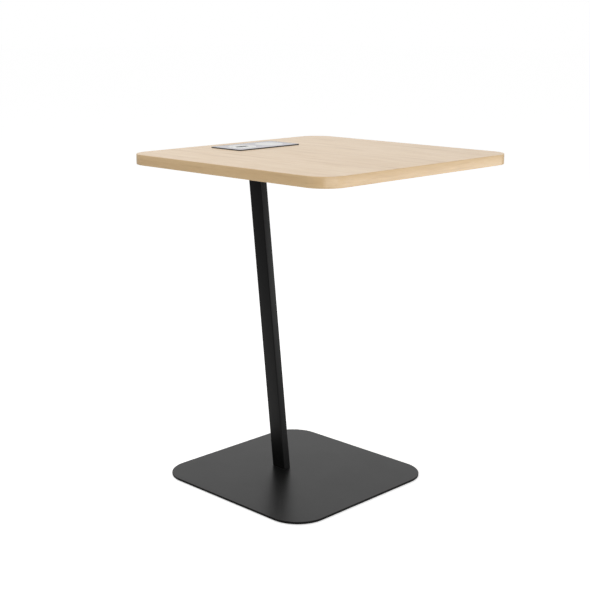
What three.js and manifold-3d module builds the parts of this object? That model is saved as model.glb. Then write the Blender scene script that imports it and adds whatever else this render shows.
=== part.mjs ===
// Small square meeting table with a wood-faced top, one leaning steel post and a flat steel base.
// A power module with a USB disc and a charging disc is let into the top over the post head.
// Millimetres, +Z up, front towards -Y, origin on the floor under the middle of the outline.
import * as THREE from 'three';
import { mergeVertices } from 'three/addons/utils/BufferGeometryUtils.js';
import Module from 'manifold-3d';

// Overall height, the two clearances, and how far a cut runs past the face it opens
const TABLE_HEIGHT = 740;
const FIT_GAP = 0.3;
const LOOSE_GAP = 0.5;
const CUT_PAST = 1;

// Top board
const TOP_WIDTH = 580;
const TOP_DEPTH = 580;
const TOP_CORNER_R = 52;
const CORE_T = 20;
const SHEET_T = 1;
const BAND_T = 2;

// Post
const POST_WIDTH = 20;
const POST_DEPTH = 40;
const POST_WALL = 2;
const POST_CORNER_R = 4;
const POST_LEAN_DEG = 6.4;
const HEAD_FROM_REAR = 91;

// Base plate and glides
const BASE_WIDTH = 433;
const BASE_DEPTH = 445;
const BASE_T = 5;
const BASE_CORNER_R = 71;
const BASE_AHEAD_OF_FOOT = 44.5;
const GLIDE_D = 30;
const GLIDE_T = 2;
const GLIDE_INSET = 46;

// Foot joint
const FOOT_BLOCK_H = 22;
const BASE_SCREW_D = 6;
const BASE_SCREW_HEAD_D = 12;
const BASE_SCREW_PITCH = 20;
const BASE_SCREW_GRIP = 14;
const BASE_SCREW_KEY_D = 4;
const BASE_SCREW_KEY_H = 1.6;

// Post head joint
const HEAD_PLATE_T = 5;
const HEAD_PLATE_CORNER_R = 10;
const HEAD_SCREW_EDGE = 14;
const HEAD_SCREW_D = 6;
const HEAD_SCREW_HEAD_D = 11;
const HEAD_SCREW_FACE_D = 8.4;
const HEAD_SCREW_HEAD_H = 3.3;
const HEAD_SCREW_LENGTH = 15;
const HEAD_SCREW_KEY_D = 4;
const HEAD_SCREW_KEY_H = 2;
const INSERT_D = 9;
const INSERT_FLANGE_D = 12;
const INSERT_LENGTH = 12;
const INSERT_WALL_TO_CUTOUT = 10;
const INSERT_ROW_PITCH = 56;

// Power module
const MODULE_WIDTH = 184;
const MODULE_DEPTH = 96;
const MODULE_CORNER_R = 6;
const MODULE_PROUD = 2.2;
const MODULE_RIM = 1.5;
const MODULE_SEAT = 3.5;
const SKIRT_T = 1.5;
const SKIRT_CORNER_R = 2;
const WELL_CORNER_R = 1;
const SKIRT_TO_BOARD = 2;
const LID_T = 1.5;
const LID_ABOVE_PLATE = 1.5;
const FACE_T = 1.2;
const DISC_D = 63.4;
const DISC_PITCH = 82;
const DISC_FLANGE_D = 70;
const DISC_FLANGE_T = 2.2;
const DISC_PROUD = 0.2;

// Electronics inside the module
const BOARD_T = 1.6;
const BOARD_WIDTH = 56;
const BOARD_DEPTH = 58;
const BOARD_STAND = 6;
const STAND_W = 4;
const USB_A_W = 13.1;
const USB_A_H = 5.7;
const USB_C_W = 9;
const USB_C_H = 3.3;
const USB_C_FLAT = 0.06;
const USB_SHELL_T = 0.4;
const USB_PITCH = 15;
const TONGUE_GAP = 0.9;
const TONGUE_SUNK = 1;
const TONGUE_A_T = 1.8;
const TONGUE_C_T = 0.8;
const USB_SUNK = 0.4;
const PORT_BAY_W = 32;
const PORT_BAY_D = 12;
const PORT_BAY_R = 2;
const PORT_BAY_DEEP = 2;
const COIL_D = 44;
const COIL_BORE = 20;
const COIL_T = 1.2;
const FERRITE_SIDE = 48;
const FERRITE_T = 2;
const RIBBON_W = 8;
const RIBBON_T = 0.8;
const RIBBON_LAP = 6;
const CLIP_W = 24;
const CLIP_T = 0.8;
const CLIP_INSET = 2.5;
const CLIP_FOOT = 3;
const MODULE_SCREW_D = 2.6;
const MODULE_SCREW_HEAD_D = 5;
const MODULE_SCREW_HEAD_H = 1.2;
const MODULE_SCREW_GRIP = 9;
const BOSS_W = 8;
const BOSS_CAP = 2;

// Supply lead and its inlet in the rear face of the post
const LEAD_D = 4;
const LEAD_STEPS = 80;
const LEAD_LEAVES_ABOVE_INLET = 50;
const LEAD_BENDS_ABOVE_INLET = 22;
const LEAD_BENDS_AHEAD = 7;
const LEAD_STRAIGHT_AT_INLET = 9;
const PLUG_LENGTH = 10;
const PLUG_WIDTH = 8;
const PLUG_HEIGHT = 6;
const GROMMET_D = 10;
const GROMMET_FLANGE_D = 15;
const GROMMET_FLANGE_T = 1;
const INLET_HEIGHT = 64;
const INLET_D = 10;
const INLET_FLANGE_D = 14;
const INLET_FLANGE_T = 1.6;
const INLET_LENGTH = 13;
const INLET_BORE = 5.6;
const INLET_BORE_DEPTH = 9;
const INLET_PIN_D = 2;
const INLET_PIN_SUNK = 0.8;
const INLET_PIN_TIP = 0.7;
const INLET_NUT_D = 13.6;
const INLET_NUT_T = 2.5;

// Levels
const topFaceZ = TABLE_HEIGHT;
const coreTopZ = topFaceZ - SHEET_T;
const coreLowZ = coreTopZ - CORE_T;
const topLowZ = coreLowZ - SHEET_T;
const headPlateLowZ = topLowZ - HEAD_PLATE_T;
const baseLowZ = GLIDE_T;
const baseTopZ = baseLowZ + BASE_T;

// Plan positions, measured from the middle of the top
const lean = THREE.MathUtils.degToRad(POST_LEAN_DEG);
const slope = Math.tan(lean);
const headY = TOP_DEPTH / 2 - HEAD_FROM_REAR;
const postY = (z) => headY - slope * (topLowZ - z);
const footY = postY(baseTopZ);
const baseY = footY - BASE_AHEAD_OF_FOOT;
const moduleY = headY;
const cutWidth = MODULE_WIDTH - 2 * MODULE_SEAT;
const cutDepth = MODULE_DEPTH - 2 * MODULE_SEAT;
const insertX = cutWidth / 2 + INSERT_WALL_TO_CUTOUT + INSERT_D / 2;
const rearY = Math.max(TOP_DEPTH / 2, baseY + BASE_DEPTH / 2);
const frontY = Math.min(-TOP_DEPTH / 2, baseY - BASE_DEPTH / 2);

// Colour, roughness and metalness of each finish
const FINISH = {
  wood: ['#e6d5c0', 0.55, 0],
  band: ['#dcc3a0', 0.55, 0],
  board: ['#b89a72', 0.9, 0],
  charcoal: ['#4a4a4b', 0.45, 0.3],
  black: ['#1c1c1d', 0.5, 0.3],
  zinc: ['#b9bbbd', 0.35, 0.9],
  brass: ['#b8964c', 0.35, 0.9],
  blackPlastic: ['#1a1a1b', 0.55, 0],
  silver: ['#c9c6cb', 0.4, 0.7],
  pale: ['#dfdfdc', 0.45, 0],
  darkPlastic: ['#2b2b2d', 0.5, 0],
  circuit: ['#1f5a3a', 0.5, 0],
  copper: ['#b06a3a', 0.35, 0.9],
  ferrite: ['#3a3836', 0.8, 0],
  rubber: ['#151515', 0.85, 0],
  felt: ['#3b3b3c', 0.95, 0],
};

const wasm = await Module();
wasm.setup();

const table = new THREE.Group();
table.name = 'table';
table.position.y = -(rearY + frontY) / 2;

function place(name, geometry, finish, parent = table) {
  const [color, roughness, metalness] = FINISH[finish];
  const material = new THREE.MeshStandardMaterial({ color, roughness, metalness });
  const mesh = new THREE.Mesh(geometry, material);
  mesh.name = name;
  parent.add(mesh);
}

function rounded(path, width, depth, radius, x = 0, y = 0) {
  const a = width / 2 - radius;
  const b = depth / 2 - radius;
  path.absarc(x + a, y + b, radius, 0, Math.PI / 2, false);
  path.absarc(x - a, y + b, radius, Math.PI / 2, Math.PI, false);
  path.absarc(x - a, y - b, radius, Math.PI, Math.PI * 1.5, false);
  path.absarc(x + a, y - b, radius, Math.PI * 1.5, Math.PI * 2, false);
  return path;
}

function round(path, diameter, x = 0, y = 0) {
  path.absarc(x, y, diameter / 2, 0, Math.PI * 2, false);
  return path;
}

function oblong(path, width, depth, x = 0, y = 0) {
  path.moveTo(x - width / 2, y - depth / 2);
  path.lineTo(x + width / 2, y - depth / 2);
  path.lineTo(x + width / 2, y + depth / 2);
  path.lineTo(x - width / 2, y + depth / 2);
  path.closePath();
  return path;
}

function slab(shape, lowZ, highZ, curveSegments = 6) {
  const depth = highZ - lowZ;
  const body = new THREE.ExtrudeGeometry(shape, { depth, bevelEnabled: false, curveSegments });
  return body.translate(0, 0, lowZ);
}

function withHoles(shape, holes) {
  shape.holes.push(...holes);
  return shape;
}

function turned(profile, segments = 24) {
  const points = profile.map(([r, z]) => new THREE.Vector2(r, z));
  return new THREE.LatheGeometry(points, segments).rotateX(Math.PI / 2);
}

function solid(geometry) {
  const bare = geometry.clone();
  bare.deleteAttribute('normal');
  bare.deleteAttribute('uv');
  const welded = mergeVertices(bare, 1e-4);
  const vertProperties = new Float32Array(welded.attributes.position.array);
  const triVerts = new Uint32Array(welded.index.array);
  return new wasm.Manifold(new wasm.Mesh({ numProp: 3, vertProperties, triVerts }));
}

function skin(body) {
  const { vertProperties, triVerts } = body.getMesh();
  const geometry = new THREE.BufferGeometry();
  geometry.setAttribute('position', new THREE.BufferAttribute(vertProperties, 3));
  geometry.setIndex(new THREE.BufferAttribute(triVerts, 1));
  geometry.computeVertexNormals();
  return geometry;
}

// Where the six inserts and the two columns of screws below them stand
const insertSpots = [-1, 1].flatMap((side) => (
  [-1, 0, 1].map((row) => [side * insertX, moduleY + row * INSERT_ROW_PITCH])
));

// Core board with the through cut-out for the module and blind holes for the inserts
const coreWidth = TOP_WIDTH - 2 * BAND_T;
const coreDepth = TOP_DEPTH - 2 * BAND_T;
const coreR = TOP_CORNER_R - BAND_T;
const insertHoleD = INSERT_D + 2 * FIT_GAP;
const cutOut = () => rounded(new THREE.Path(), cutWidth, cutDepth, MODULE_CORNER_R / 2, 0, moduleY);
const coreOutline = withHoles(rounded(new THREE.Shape(), coreWidth, coreDepth, coreR), [cutOut()]);
let core = solid(slab(coreOutline, coreLowZ, coreTopZ));
for (const [x, y] of insertSpots) {
  const hole = round(new THREE.Shape(), insertHoleD, x, y);
  core = core.subtract(solid(slab(hole, coreLowZ - CUT_PAST, coreLowZ + INSERT_LENGTH + LOOSE_GAP)));
}
place('core_board', skin(core), 'board');

// Wood-look sheet on top, cut round the module flange
const seatHole = rounded(
  new THREE.Path(),
  MODULE_WIDTH + 2 * FIT_GAP,
  MODULE_DEPTH + 2 * FIT_GAP,
  MODULE_CORNER_R + FIT_GAP,
  0,
  moduleY,
);
const topSheet = withHoles(rounded(new THREE.Shape(), coreWidth, coreDepth, coreR), [seatHole]);
place('top_laminate', slab(topSheet, coreTopZ, topFaceZ), 'wood');

// Backing sheet below, cut for the module and for the insert flanges
const flangeHoleD = INSERT_FLANGE_D + 2 * FIT_GAP;
const flangeHoles = insertSpots.map(([x, y]) => round(new THREE.Path(), flangeHoleD, x, y));
const lowOutline = rounded(new THREE.Shape(), coreWidth, coreDepth, coreR);
const lowSheet = withHoles(lowOutline, [cutOut(), ...flangeHoles]);
place('underside_laminate', slab(lowSheet, topLowZ, coreLowZ), 'board');

// Band round the edge over the full thickness
const bandInner = rounded(new THREE.Path(), coreWidth, coreDepth, coreR);
const bandRing = withHoles(rounded(new THREE.Shape(), TOP_WIDTH, TOP_DEPTH, TOP_CORNER_R), [bandInner]);
place('edge_band', slab(bandRing, topLowZ, topFaceZ), 'band');

// Flanged threaded inserts and the screws that pull the head plate up to them
const insertBoreR = HEAD_SCREW_D / 2 + FIT_GAP;
insertSpots.forEach(([x, y], i) => {
  const insert = turned([
    [insertBoreR, topLowZ],
    [INSERT_FLANGE_D / 2, topLowZ],
    [INSERT_FLANGE_D / 2, coreLowZ],
    [INSERT_D / 2, coreLowZ],
    [INSERT_D / 2, coreLowZ + INSERT_LENGTH],
    [insertBoreR, coreLowZ + INSERT_LENGTH],
    [insertBoreR, topLowZ],
  ]);
  place(`threaded_insert_${i + 1}`, insert.translate(x, y, 0), 'brass');
  const headLowZ = headPlateLowZ - HEAD_SCREW_HEAD_H;
  const screw = turned([
    [0, headLowZ + HEAD_SCREW_KEY_H],
    [HEAD_SCREW_KEY_D / 2, headLowZ + HEAD_SCREW_KEY_H],
    [HEAD_SCREW_KEY_D / 2, headLowZ],
    [HEAD_SCREW_FACE_D / 2, headLowZ],
    [HEAD_SCREW_HEAD_D / 2, headLowZ + HEAD_SCREW_HEAD_H / 2],
    [HEAD_SCREW_HEAD_D / 2, headPlateLowZ],
    [HEAD_SCREW_D / 2, headPlateLowZ],
    [HEAD_SCREW_D / 2, headPlateLowZ + HEAD_SCREW_LENGTH],
    [0, headPlateLowZ + HEAD_SCREW_LENGTH],
  ]);
  place(`head_screw_${i + 1}`, screw.translate(x, y, 0), 'zinc');
});

// Head plate welded to the post, closing the cut-out from below
const plateWidth = 2 * (insertX + HEAD_SCREW_EDGE);
const plateDepth = 2 * (INSERT_ROW_PITCH + HEAD_SCREW_EDGE);
const leadY = postY(headPlateLowZ);
const plateHoles = insertSpots.map(([x, y]) => round(new THREE.Path(), HEAD_SCREW_D + 2 * FIT_GAP, x, y));
plateHoles.push(round(new THREE.Path(), GROMMET_D + 2 * FIT_GAP, 0, leadY));
const plateOutline = rounded(new THREE.Shape(), plateWidth, plateDepth, HEAD_PLATE_CORNER_R, 0, moduleY);
place('head_plate', slab(withHoles(plateOutline, plateHoles), headPlateLowZ, topLowZ), 'black');

const grommetBoreR = LEAD_D / 2 + FIT_GAP;
const grommet = turned([
  [grommetBoreR, headPlateLowZ],
  [GROMMET_D / 2, headPlateLowZ],
  [GROMMET_D / 2, topLowZ],
  [GROMMET_FLANGE_D / 2, topLowZ],
  [GROMMET_FLANGE_D / 2, topLowZ + GROMMET_FLANGE_T],
  [grommetBoreR, topLowZ + GROMMET_FLANGE_T],
  [grommetBoreR, headPlateLowZ],
]);
place('head_grommet', grommet.translate(0, leadY, 0), 'rubber');

// Post: a rectangular tube cut level at both ends, so its level section is a little deeper
const levelDepth = POST_DEPTH / Math.cos(lean);
const levelWall = POST_WALL / Math.cos(lean);
const boreWidth = POST_WIDTH - 2 * POST_WALL;
const boreDepth = levelDepth - 2 * levelWall;
const boreR = POST_CORNER_R - POST_WALL;

function leaning(shape, lowZ, highZ, curveSegments) {
  const shear = new THREE.Matrix4().makeShear(0, 0, 0, 0, 0, slope);
  const body = slab(shape, 0, highZ - lowZ, curveSegments).applyMatrix4(shear);
  return body.translate(0, postY(lowZ), lowZ);
}

const inlet = new THREE.Group();
inlet.position.set(0, postY(INLET_HEIGHT) + levelDepth / 2, INLET_HEIGHT);
inlet.rotation.x = -(Math.PI / 2 + lean);
inlet.updateMatrix();
table.add(inlet);

const tubeBore = rounded(new THREE.Path(), boreWidth, boreDepth, boreR);
const tubeOutline = rounded(new THREE.Shape(), POST_WIDTH, levelDepth, POST_CORNER_R);
const tubeSection = withHoles(tubeOutline, [tubeBore]);
const inletHole = round(new THREE.Shape(), INLET_D + 2 * FIT_GAP);
const inletDrill = slab(inletHole, -3 * POST_WALL, 3 * POST_WALL);
const tube = solid(leaning(tubeSection, baseTopZ, headPlateLowZ, 4));
place('post_tube', skin(tube.subtract(solid(inletDrill.applyMatrix4(inlet.matrix)))), 'black');

// Tapped block in the foot of the post, held by two countersunk screws through the base plate
const screwYs = [-0.5, 0.5].map((k) => footY + k * BASE_SCREW_PITCH);
const blockOutline = rounded(
  new THREE.Shape(), boreWidth - 2 * FIT_GAP, boreDepth - 2 * FIT_GAP, boreR,
);
let block = solid(leaning(blockOutline, baseTopZ, baseTopZ + FOOT_BLOCK_H, 3));
for (const y of screwYs) {
  const tap = round(new THREE.Shape(), BASE_SCREW_D + 2 * FIT_GAP, 0, y);
  block = block.subtract(solid(slab(tap, baseTopZ - CUT_PAST, baseTopZ + BASE_SCREW_GRIP + LOOSE_GAP)));
}
place('foot_block', skin(block), 'zinc');

// Base plate with countersinks open to the underside
const sinkDepth = (BASE_SCREW_HEAD_D - BASE_SCREW_D) / 2;
const sinkR = BASE_SCREW_HEAD_D / 2 + FIT_GAP;
const sinkBoreR = BASE_SCREW_D / 2 + FIT_GAP;
const baseOutline = rounded(new THREE.Shape(), BASE_WIDTH, BASE_DEPTH, BASE_CORNER_R, 0, baseY);
let base = solid(slab(baseOutline, baseLowZ, baseTopZ, 8));
for (const y of screwYs) {
  const cone = new THREE.CylinderGeometry(sinkBoreR, sinkR + CUT_PAST, sinkDepth + CUT_PAST, 24);
  cone.rotateX(Math.PI / 2).translate(0, y, baseLowZ + (sinkDepth - CUT_PAST) / 2);
  const bore = round(new THREE.Shape(), 2 * sinkBoreR, 0, y);
  const drill = slab(bore, baseLowZ - CUT_PAST, baseTopZ + CUT_PAST);
  base = base.subtract(solid(cone)).subtract(solid(drill));
}
place('base_plate', skin(base), 'charcoal');

screwYs.forEach((y, i) => {
  const screw = turned([
    [0, baseLowZ + BASE_SCREW_KEY_H],
    [BASE_SCREW_KEY_D / 2, baseLowZ + BASE_SCREW_KEY_H],
    [BASE_SCREW_KEY_D / 2, baseLowZ],
    [BASE_SCREW_HEAD_D / 2, baseLowZ],
    [BASE_SCREW_D / 2, baseLowZ + sinkDepth],
    [BASE_SCREW_D / 2, baseTopZ + BASE_SCREW_GRIP],
    [0, baseTopZ + BASE_SCREW_GRIP],
  ]);
  place(`base_screw_${i + 1}`, screw.translate(0, y, 0), 'zinc');
});

// Felt glides under the corners of the base plate
const glideX = BASE_WIDTH / 2 - GLIDE_INSET;
const glideDy = BASE_DEPTH / 2 - GLIDE_INSET;
[[-1, -1], [1, -1], [-1, 1], [1, 1]].forEach(([sx, sy], i) => {
  const spot = round(new THREE.Shape(), GLIDE_D, sx * glideX, baseY + sy * glideDy);
  place(`glide_pad_${i + 1}`, slab(spot, 0, baseLowZ, 10), 'felt');
});

// Module levels
const moduleTopZ = topFaceZ + MODULE_PROUD;
const faceLowZ = moduleTopZ - FACE_T;
const lidLowZ = topLowZ + LID_ABOVE_PLATE;
const lidTopZ = lidLowZ + LID_T;
const skirtWidth = cutWidth - 2 * SKIRT_TO_BOARD;
const skirtDepth = cutDepth - 2 * SKIRT_TO_BOARD;
const wellWidth = skirtWidth - 2 * SKIRT_T;
const wellDepth = skirtDepth - 2 * SKIRT_T;
const faceWidth = MODULE_WIDTH - 2 * MODULE_RIM;
const faceDepth = MODULE_DEPTH - 2 * MODULE_RIM;
const faceR = MODULE_CORNER_R - MODULE_RIM;
const well = () => rounded(new THREE.Path(), wellWidth, wellDepth, WELL_CORNER_R, 0, moduleY);

// Black module body: flange on the core board, rim round the face plate, skirt and corner bosses
const flangeOutline = () => (
  rounded(new THREE.Shape(), MODULE_WIDTH, MODULE_DEPTH, MODULE_CORNER_R, 0, moduleY)
);
const rimHole = rounded(
  new THREE.Path(), faceWidth + 2 * FIT_GAP, faceDepth + 2 * FIT_GAP, faceR + FIT_GAP, 0, moduleY,
);
const skirtOutline = () => (
  rounded(new THREE.Shape(), skirtWidth, skirtDepth, SKIRT_CORNER_R, 0, moduleY)
);
let moduleBody = solid(slab(withHoles(flangeOutline(), [rimHole]), faceLowZ, moduleTopZ))
  .add(solid(slab(withHoles(flangeOutline(), [well()]), coreTopZ, faceLowZ)))
  .add(solid(slab(withHoles(skirtOutline(), [well()]), lidTopZ, coreTopZ)));
const bossTopZ = lidTopZ + MODULE_SCREW_GRIP + BOSS_CAP;
const bossSpots = [[-1, -1], [1, -1], [-1, 1], [1, 1]].map(([sx, sy]) => [
  sx * (wellWidth / 2 - BOSS_W / 2), moduleY + sy * (wellDepth / 2 - BOSS_W / 2),
]);
for (const [x, y] of bossSpots) {
  const overlap = SKIRT_T / 2;
  const bossX = x + Math.sign(x) * overlap / 2;
  const bossY = y + Math.sign(y - moduleY) * overlap / 2;
  const boss = oblong(new THREE.Shape(), BOSS_W + overlap, BOSS_W + overlap, bossX, bossY);
  moduleBody = moduleBody.add(solid(slab(boss, lidTopZ, bossTopZ)));
}
for (const [x, y] of bossSpots) {
  const pilot = round(new THREE.Shape(), MODULE_SCREW_D + 2 * FIT_GAP, x, y);
  const pilotTopZ = lidTopZ + MODULE_SCREW_GRIP + LOOSE_GAP;
  moduleBody = moduleBody.subtract(solid(slab(pilot, lidTopZ - CUT_PAST, pilotTopZ)));
}
place('module_body', skin(moduleBody), 'blackPlastic');

// Lid under the body with stands for the two circuit boards, and its four screws
const boardLowZ = lidTopZ + BOARD_STAND;
const boardTopZ = boardLowZ + BOARD_T;
const discX = DISC_PITCH / 2;
const leadHole = round(new THREE.Path(), LEAD_D + 2 * LOOSE_GAP, 0, leadY);
const lidHoles = bossSpots.map(([x, y]) => round(new THREE.Path(), MODULE_SCREW_D + 2 * FIT_GAP, x, y));
let lid = solid(slab(withHoles(skirtOutline(), [leadHole, ...lidHoles]), lidLowZ, lidTopZ));
for (const side of [-1, 1]) {
  for (const [kx, ky] of [[-1, -1], [1, -1], [-1, 1], [1, 1]]) {
    const x = side * discX + kx * (BOARD_WIDTH - STAND_W) / 2;
    const y = moduleY + ky * (BOARD_DEPTH - STAND_W) / 2;
    const stand = oblong(new THREE.Shape(), STAND_W, STAND_W, x, y);
    lid = lid.add(solid(slab(stand, lidTopZ - LID_T / 2, boardLowZ)));
  }
}
place('module_lid', skin(lid), 'blackPlastic');

bossSpots.forEach(([x, y], i) => {
  const screw = turned([
    [0, lidLowZ - MODULE_SCREW_HEAD_H],
    [MODULE_SCREW_HEAD_D / 2, lidLowZ - MODULE_SCREW_HEAD_H],
    [MODULE_SCREW_HEAD_D / 2, lidLowZ],
    [MODULE_SCREW_D / 2, lidLowZ],
    [MODULE_SCREW_D / 2, lidTopZ + MODULE_SCREW_GRIP],
    [0, lidTopZ + MODULE_SCREW_GRIP],
  ], 16);
  place(`module_screw_${i + 1}`, screw.translate(x, y, 0), 'zinc');
});

// Spring clips on the short sides, bowed out towards the cut-out
const clipLowZ = lidTopZ + CLIP_INSET;
const clipTopZ = coreTopZ - CLIP_INSET;
const clipMidZ = (clipLowZ + clipTopZ) / 2;
const clipBow = SKIRT_TO_BOARD - CLIP_T - FIT_GAP;
[-1, 1].forEach((side, i) => {
  const strip = new THREE.Shape();
  strip.moveTo(0, clipLowZ);
  strip.lineTo(CLIP_T, clipLowZ);
  strip.lineTo(CLIP_T + clipBow, clipMidZ);
  strip.lineTo(CLIP_T, clipTopZ);
  strip.lineTo(0, clipTopZ);
  strip.lineTo(0, clipTopZ - CLIP_FOOT);
  strip.lineTo(clipBow, clipMidZ);
  strip.lineTo(0, clipLowZ + CLIP_FOOT);
  strip.closePath();
  const clip = new THREE.ExtrudeGeometry(strip, { depth: CLIP_W, bevelEnabled: false });
  clip.rotateX(Math.PI / 2).translate(0, CLIP_W / 2, 0);
  if (side < 0) clip.rotateZ(Math.PI);
  place(`module_clip_${i + 1}`, clip.translate(side * skirtWidth / 2, moduleY, 0), 'zinc');
});

// Silver face plate with the two round windows
const windows = [-1, 1].map((s) => round(new THREE.Path(), DISC_D + 2 * FIT_GAP, s * discX, moduleY));
const faceOutline = rounded(new THREE.Shape(), faceWidth, faceDepth, faceR, 0, moduleY);
place('face_plate', slab(withHoles(faceOutline, windows), faceLowZ, moduleTopZ, 16), 'silver');

// The two discs: a flange behind the face plate and a plug through the window
const discTopZ = moduleTopZ + DISC_PROUD;
const discLowZ = faceLowZ - DISC_FLANGE_T;
function disc(x) {
  const flange = slab(round(new THREE.Shape(), DISC_FLANGE_D, x, moduleY), discLowZ, faceLowZ, 20);
  const plug = slab(round(new THREE.Shape(), DISC_D, x, moduleY), faceLowZ, discTopZ, 20);
  return solid(flange).add(solid(plug));
}

// USB disc on the left: a sunk bay with one flat port and one oval port standing in it
const portTopZ = discTopZ - USB_SUNK;
const bayLowZ = discTopZ - PORT_BAY_DEEP;
const bay = rounded(new THREE.Shape(), PORT_BAY_W, PORT_BAY_D, PORT_BAY_R, -discX, moduleY);
const bayCut = solid(slab(bay, bayLowZ, discTopZ + CUT_PAST, 4));
const portAX = -discX + USB_PITCH / 2;
const portCX = -discX - USB_PITCH / 2;
const through = (shape) => solid(slab(shape, discLowZ - CUT_PAST, discTopZ + CUT_PAST));
const holeA = oblong(new THREE.Shape(), USB_A_W + 2 * FIT_GAP, USB_A_H + 2 * FIT_GAP, portAX, moduleY);
const oval = (path, width, height) => (
  rounded(path, width, height, (height - USB_C_FLAT) / 2, portCX, moduleY)
);
const holeC = oval(new THREE.Shape(), USB_C_W + 2 * FIT_GAP, USB_C_H + 2 * FIT_GAP);
const usbDisc = disc(-discX).subtract(bayCut).subtract(through(holeA)).subtract(through(holeC));
place('usb_insert', skin(usbDisc), 'pale');

const boreAWidth = USB_A_W - 2 * USB_SHELL_T;
const boreADepth = USB_A_H - 2 * USB_SHELL_T;
const boreA = oblong(new THREE.Path(), boreAWidth, boreADepth, portAX, moduleY);
const shellA = withHoles(oblong(new THREE.Shape(), USB_A_W, USB_A_H, portAX, moduleY), [boreA]);
place('usb_a_shell', slab(shellA, boardTopZ, portTopZ), 'zinc');
const tongueA = oblong(
  new THREE.Shape(), boreAWidth - 2 * TONGUE_GAP, TONGUE_A_T, portAX, moduleY + TONGUE_A_T / 2,
);
place('usb_a_tongue', slab(tongueA, boardTopZ, portTopZ - TONGUE_SUNK), 'darkPlastic');

const boreCWidth = USB_C_W - 2 * USB_SHELL_T;
const boreC = oval(new THREE.Path(), boreCWidth, USB_C_H - 2 * USB_SHELL_T);
const shellC = withHoles(oval(new THREE.Shape(), USB_C_W, USB_C_H), [boreC]);
place('usb_c_shell', slab(shellC, boardTopZ, portTopZ), 'zinc');
const tongueC = oblong(new THREE.Shape(), boreCWidth - 2 * TONGUE_GAP, TONGUE_C_T, portCX, moduleY);
place('usb_c_tongue', slab(tongueC, boardTopZ, portTopZ - TONGUE_SUNK), 'darkPlastic');

const boardAt = (x) => (
  slab(oblong(new THREE.Shape(), BOARD_WIDTH, BOARD_DEPTH, x, moduleY), boardLowZ, boardTopZ)
);
place('usb_board', boardAt(-discX), 'circuit');

// Charging disc on the right, with its coil and ferrite plate against the back
const coilBore = round(new THREE.Path(), COIL_BORE, discX, moduleY);
const coilRing = withHoles(round(new THREE.Shape(), COIL_D, discX, moduleY), [coilBore]);
const coilLowZ = discLowZ - COIL_T;
const ferrite = oblong(new THREE.Shape(), FERRITE_SIDE, FERRITE_SIDE, discX, moduleY);
place('pad_cover', skin(disc(discX)), 'pale');
place('pad_coil', slab(coilRing, coilLowZ, discLowZ, 14), 'copper');
place('pad_ferrite', slab(ferrite, coilLowZ - FERRITE_T, coilLowZ), 'ferrite');
place('pad_board', boardAt(discX), 'circuit');

// Ribbon that links the two circuit boards
const ribbonLength = DISC_PITCH - BOARD_WIDTH + 2 * RIBBON_LAP;
const ribbon = oblong(new THREE.Shape(), ribbonLength, RIBBON_W, 0, moduleY + BOARD_DEPTH / 4);
place('link_ribbon', slab(ribbon, boardTopZ, boardTopZ + RIBBON_T), 'darkPlastic');

// Supply lead: from a plug on the USB board, through the grommet, down the post to the inlet
const plugX = -discX + BOARD_WIDTH / 2 - PLUG_LENGTH / 2;
const plug = oblong(new THREE.Shape(), PLUG_LENGTH, PLUG_WIDTH, plugX, leadY);
place('lead_plug', slab(plug, boardTopZ, boardTopZ + PLUG_HEIGHT), 'pale');

const leadZ = boardTopZ + PLUG_HEIGHT / 2;
const inletBackZ = -(INLET_LENGTH + POST_WALL);
const behindInlet = (gap) => new THREE.Vector3(0, 0, inletBackZ - gap).applyMatrix4(inlet.matrix);
const aboveInlet = (rise, ahead) => (
  new THREE.Vector3(0, postY(INLET_HEIGHT + rise) - ahead, INLET_HEIGHT + rise)
);
const inletBack = behindInlet(FIT_GAP);
const inletApproach = behindInlet(LEAD_D / 2);
const leadPath = new THREE.CurvePath();
const plugEnd = new THREE.Vector3(plugX + PLUG_LENGTH / 2 + FIT_GAP, leadY, leadZ);
const overHead = new THREE.Vector3(0, leadY, lidTopZ + LOOSE_GAP);
const underHead = new THREE.Vector3(0, leadY, headPlateLowZ);
const lowPoint = aboveInlet(LEAD_LEAVES_ABOVE_INLET, LEAD_D);
leadPath.add(new THREE.QuadraticBezierCurve3(plugEnd, new THREE.Vector3(0, leadY, leadZ), overHead));
leadPath.add(new THREE.LineCurve3(overHead, underHead));
leadPath.add(new THREE.LineCurve3(underHead, lowPoint));
leadPath.add(new THREE.CubicBezierCurve3(
  lowPoint,
  aboveInlet(LEAD_BENDS_ABOVE_INLET, LEAD_BENDS_AHEAD),
  behindInlet(LEAD_STRAIGHT_AT_INLET),
  inletApproach,
));
leadPath.add(new THREE.LineCurve3(inletApproach, inletBack));
const leadPoints = leadPath.curves.flatMap((curve) => (
  curve.getPoints(curve.isLineCurve3 ? 4 : 10).slice(1)
));
const leadCurve = new THREE.CatmullRomCurve3([plugEnd, ...leadPoints], false, 'centripetal');
const lead = new THREE.ExtrudeGeometry(round(new THREE.Shape(), LEAD_D), {
  extrudePath: leadCurve, steps: LEAD_STEPS, bevelEnabled: false, curveSegments: 5,
});
place('supply_lead', lead, 'rubber');

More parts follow.
